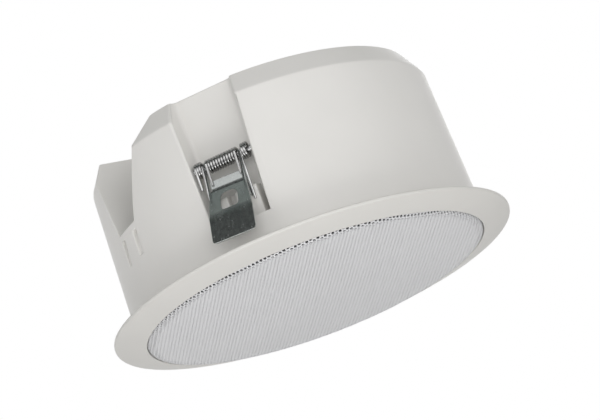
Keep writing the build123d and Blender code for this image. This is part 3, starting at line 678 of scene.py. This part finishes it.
floor_links.new(underside.outputs["BSDF"], one_sided.inputs[2])
floor_links.new(one_sided.outputs["Shader"], floor_nodes["Material Output"].inputs["Surface"])

# Cards: two dull sheets hung above the speaker, a dark one in front and a grey one behind it.
# They show in reflections alone, and give the bare metal of the clips its dark and light bands.
card_height, card_width = 0.9, 3.0
for name, near, far, tone in (("dark_card", -0.85, -0.32, 0.03), ("grey_card", -0.32, 0.80, 0.50)):
    card_grey = surface(
        name, (tone, tone * 1.1, tone * 1.06), (tone * 0.8, tone * 0.9, tone * 0.86), 0.9, grain=8, bump=0.0,
    )
    card = stage_sheet(name, card_width, far - near, (0, (near + far) / 2, card_height), card_grey)
    card.visible_camera = False
    card.visible_diffuse = False
    card.visible_shadow = False

# Backdrop: even white all round. The camera, mirrors and clear things see it as white, and it lights the
# speaker with about half of that.
backdrop_light, backdrop_white = 0.48, 1.0
world = bpy.data.worlds.new("studio")
scene.world = world
world.use_nodes = True
world_nodes, world_links = world.node_tree.nodes, world.node_tree.links
backdrop = world_nodes["Background"]
backdrop.inputs["Color"].default_value = (1, 1, 1, 1)
path = world_nodes.new("ShaderNodeLightPath")
seen = world_nodes.new("ShaderNodeMath")
seen.operation = "MAXIMUM"
world_links.new(path.outputs["Is Camera Ray"], seen.inputs[0])
world_links.new(path.outputs["Is Glossy Ray"], seen.inputs[1])
seen_through = world_nodes.new("ShaderNodeMath")
seen_through.operation = "MAXIMUM"
world_links.new(seen.outputs["Value"], seen_through.inputs[0])
world_links.new(path.outputs["Is Transmission Ray"], seen_through.inputs[1])
level = world_nodes.new("ShaderNodeMapRange")
level.inputs["To Min"].default_value = backdrop_light
level.inputs["To Max"].default_value = backdrop_white
world_links.new(seen_through.outputs["Value"], level.inputs["Value"])
world_links.new(level.outputs["Result"], backdrop.inputs["Strength"])

# Camera: a long lens from below and in front of clip a, rolled so that the flange's right end is higher.
# The middle of the can's mouth is at a chosen pixel of the picture, at a chosen scale.
picture_width, picture_height = 600, 420
mouth_pixel_across, mouth_pixel_down = 312.4, 278.8
pixels_per_metre = 1825
azimuth, elevation, roll = radians(13.9), radians(-15.5), radians(-20.6)
distance = 2.5
back = Vector((sin(azimuth) * cos(elevation), -cos(azimuth) * cos(elevation), sin(elevation)))
right = Vector((cos(azimuth), sin(azimuth), 0))
up = back.cross(right)
image_right = cos(roll) * right + sin(roll) * up
image_up = -sin(roll) * right + cos(roll) * up
aim_across = (picture_width / 2 - mouth_pixel_across) / pixels_per_metre
aim_up = (mouth_pixel_down - picture_height / 2) / pixels_per_metre
aim = aim_across * image_right + aim_up * image_up
eye = back * distance
toward = (aim - eye).normalized()
level_right = (image_right - toward * image_right.dot(toward)).normalized()
level_up = level_right.cross(toward)
camera_data = bpy.data.cameras.new("camera")
camera_data.sensor_width = 36
camera_data.lens = pixels_per_metre * distance * camera_data.sensor_width / picture_width
camera_data.clip_end = 50
camera = bpy.data.objects.new("camera", camera_data)
scene.collection.objects.link(camera)
camera_axes = Matrix((level_right, level_up, -toward)).transposed().to_4x4()
camera.matrix_world = Matrix.Translation(eye) @ camera_axes
scene.camera = camera

# Lamps: a large soft box in front, to the right of the camera, with smaller ones at both sides and below,
# and two behind the speaker, which light its back.
lamp_aim = Vector((0, 0, 0.04))


def soft_box(name, spot, size, power):
    """A square soft box at a place, in metres, facing the speaker."""
    data = bpy.data.lights.new(name, "AREA")
    data.size = size
    data.energy = power
    obj = bpy.data.objects.new(name, data)
    scene.collection.objects.link(obj)
    obj.location = spot
    obj.rotation_mode = "QUATERNION"
    obj.rotation_quaternion = (lamp_aim - Vector(spot)).to_track_quat("-Z", "Y")


soft_box("key", (0.5, -1.5, 0.05), 1.4, 6.7)
soft_box("side", (1.4, -0.7, 0.3), 0.9, 2.2)
soft_box("left", (-0.9, -1.3, 0.05), 0.7, 1.2)
soft_box("back", (-0.7, 1.4, 0.9), 1.2, 1.6)
soft_box("rear", (-0.1, 1.7, 0.62), 0.8, 4.0)
soft_box("fill", (0.05, -0.4, -0.85), 0.8, 6.0)

scene.view_settings.view_transform = "Standard"
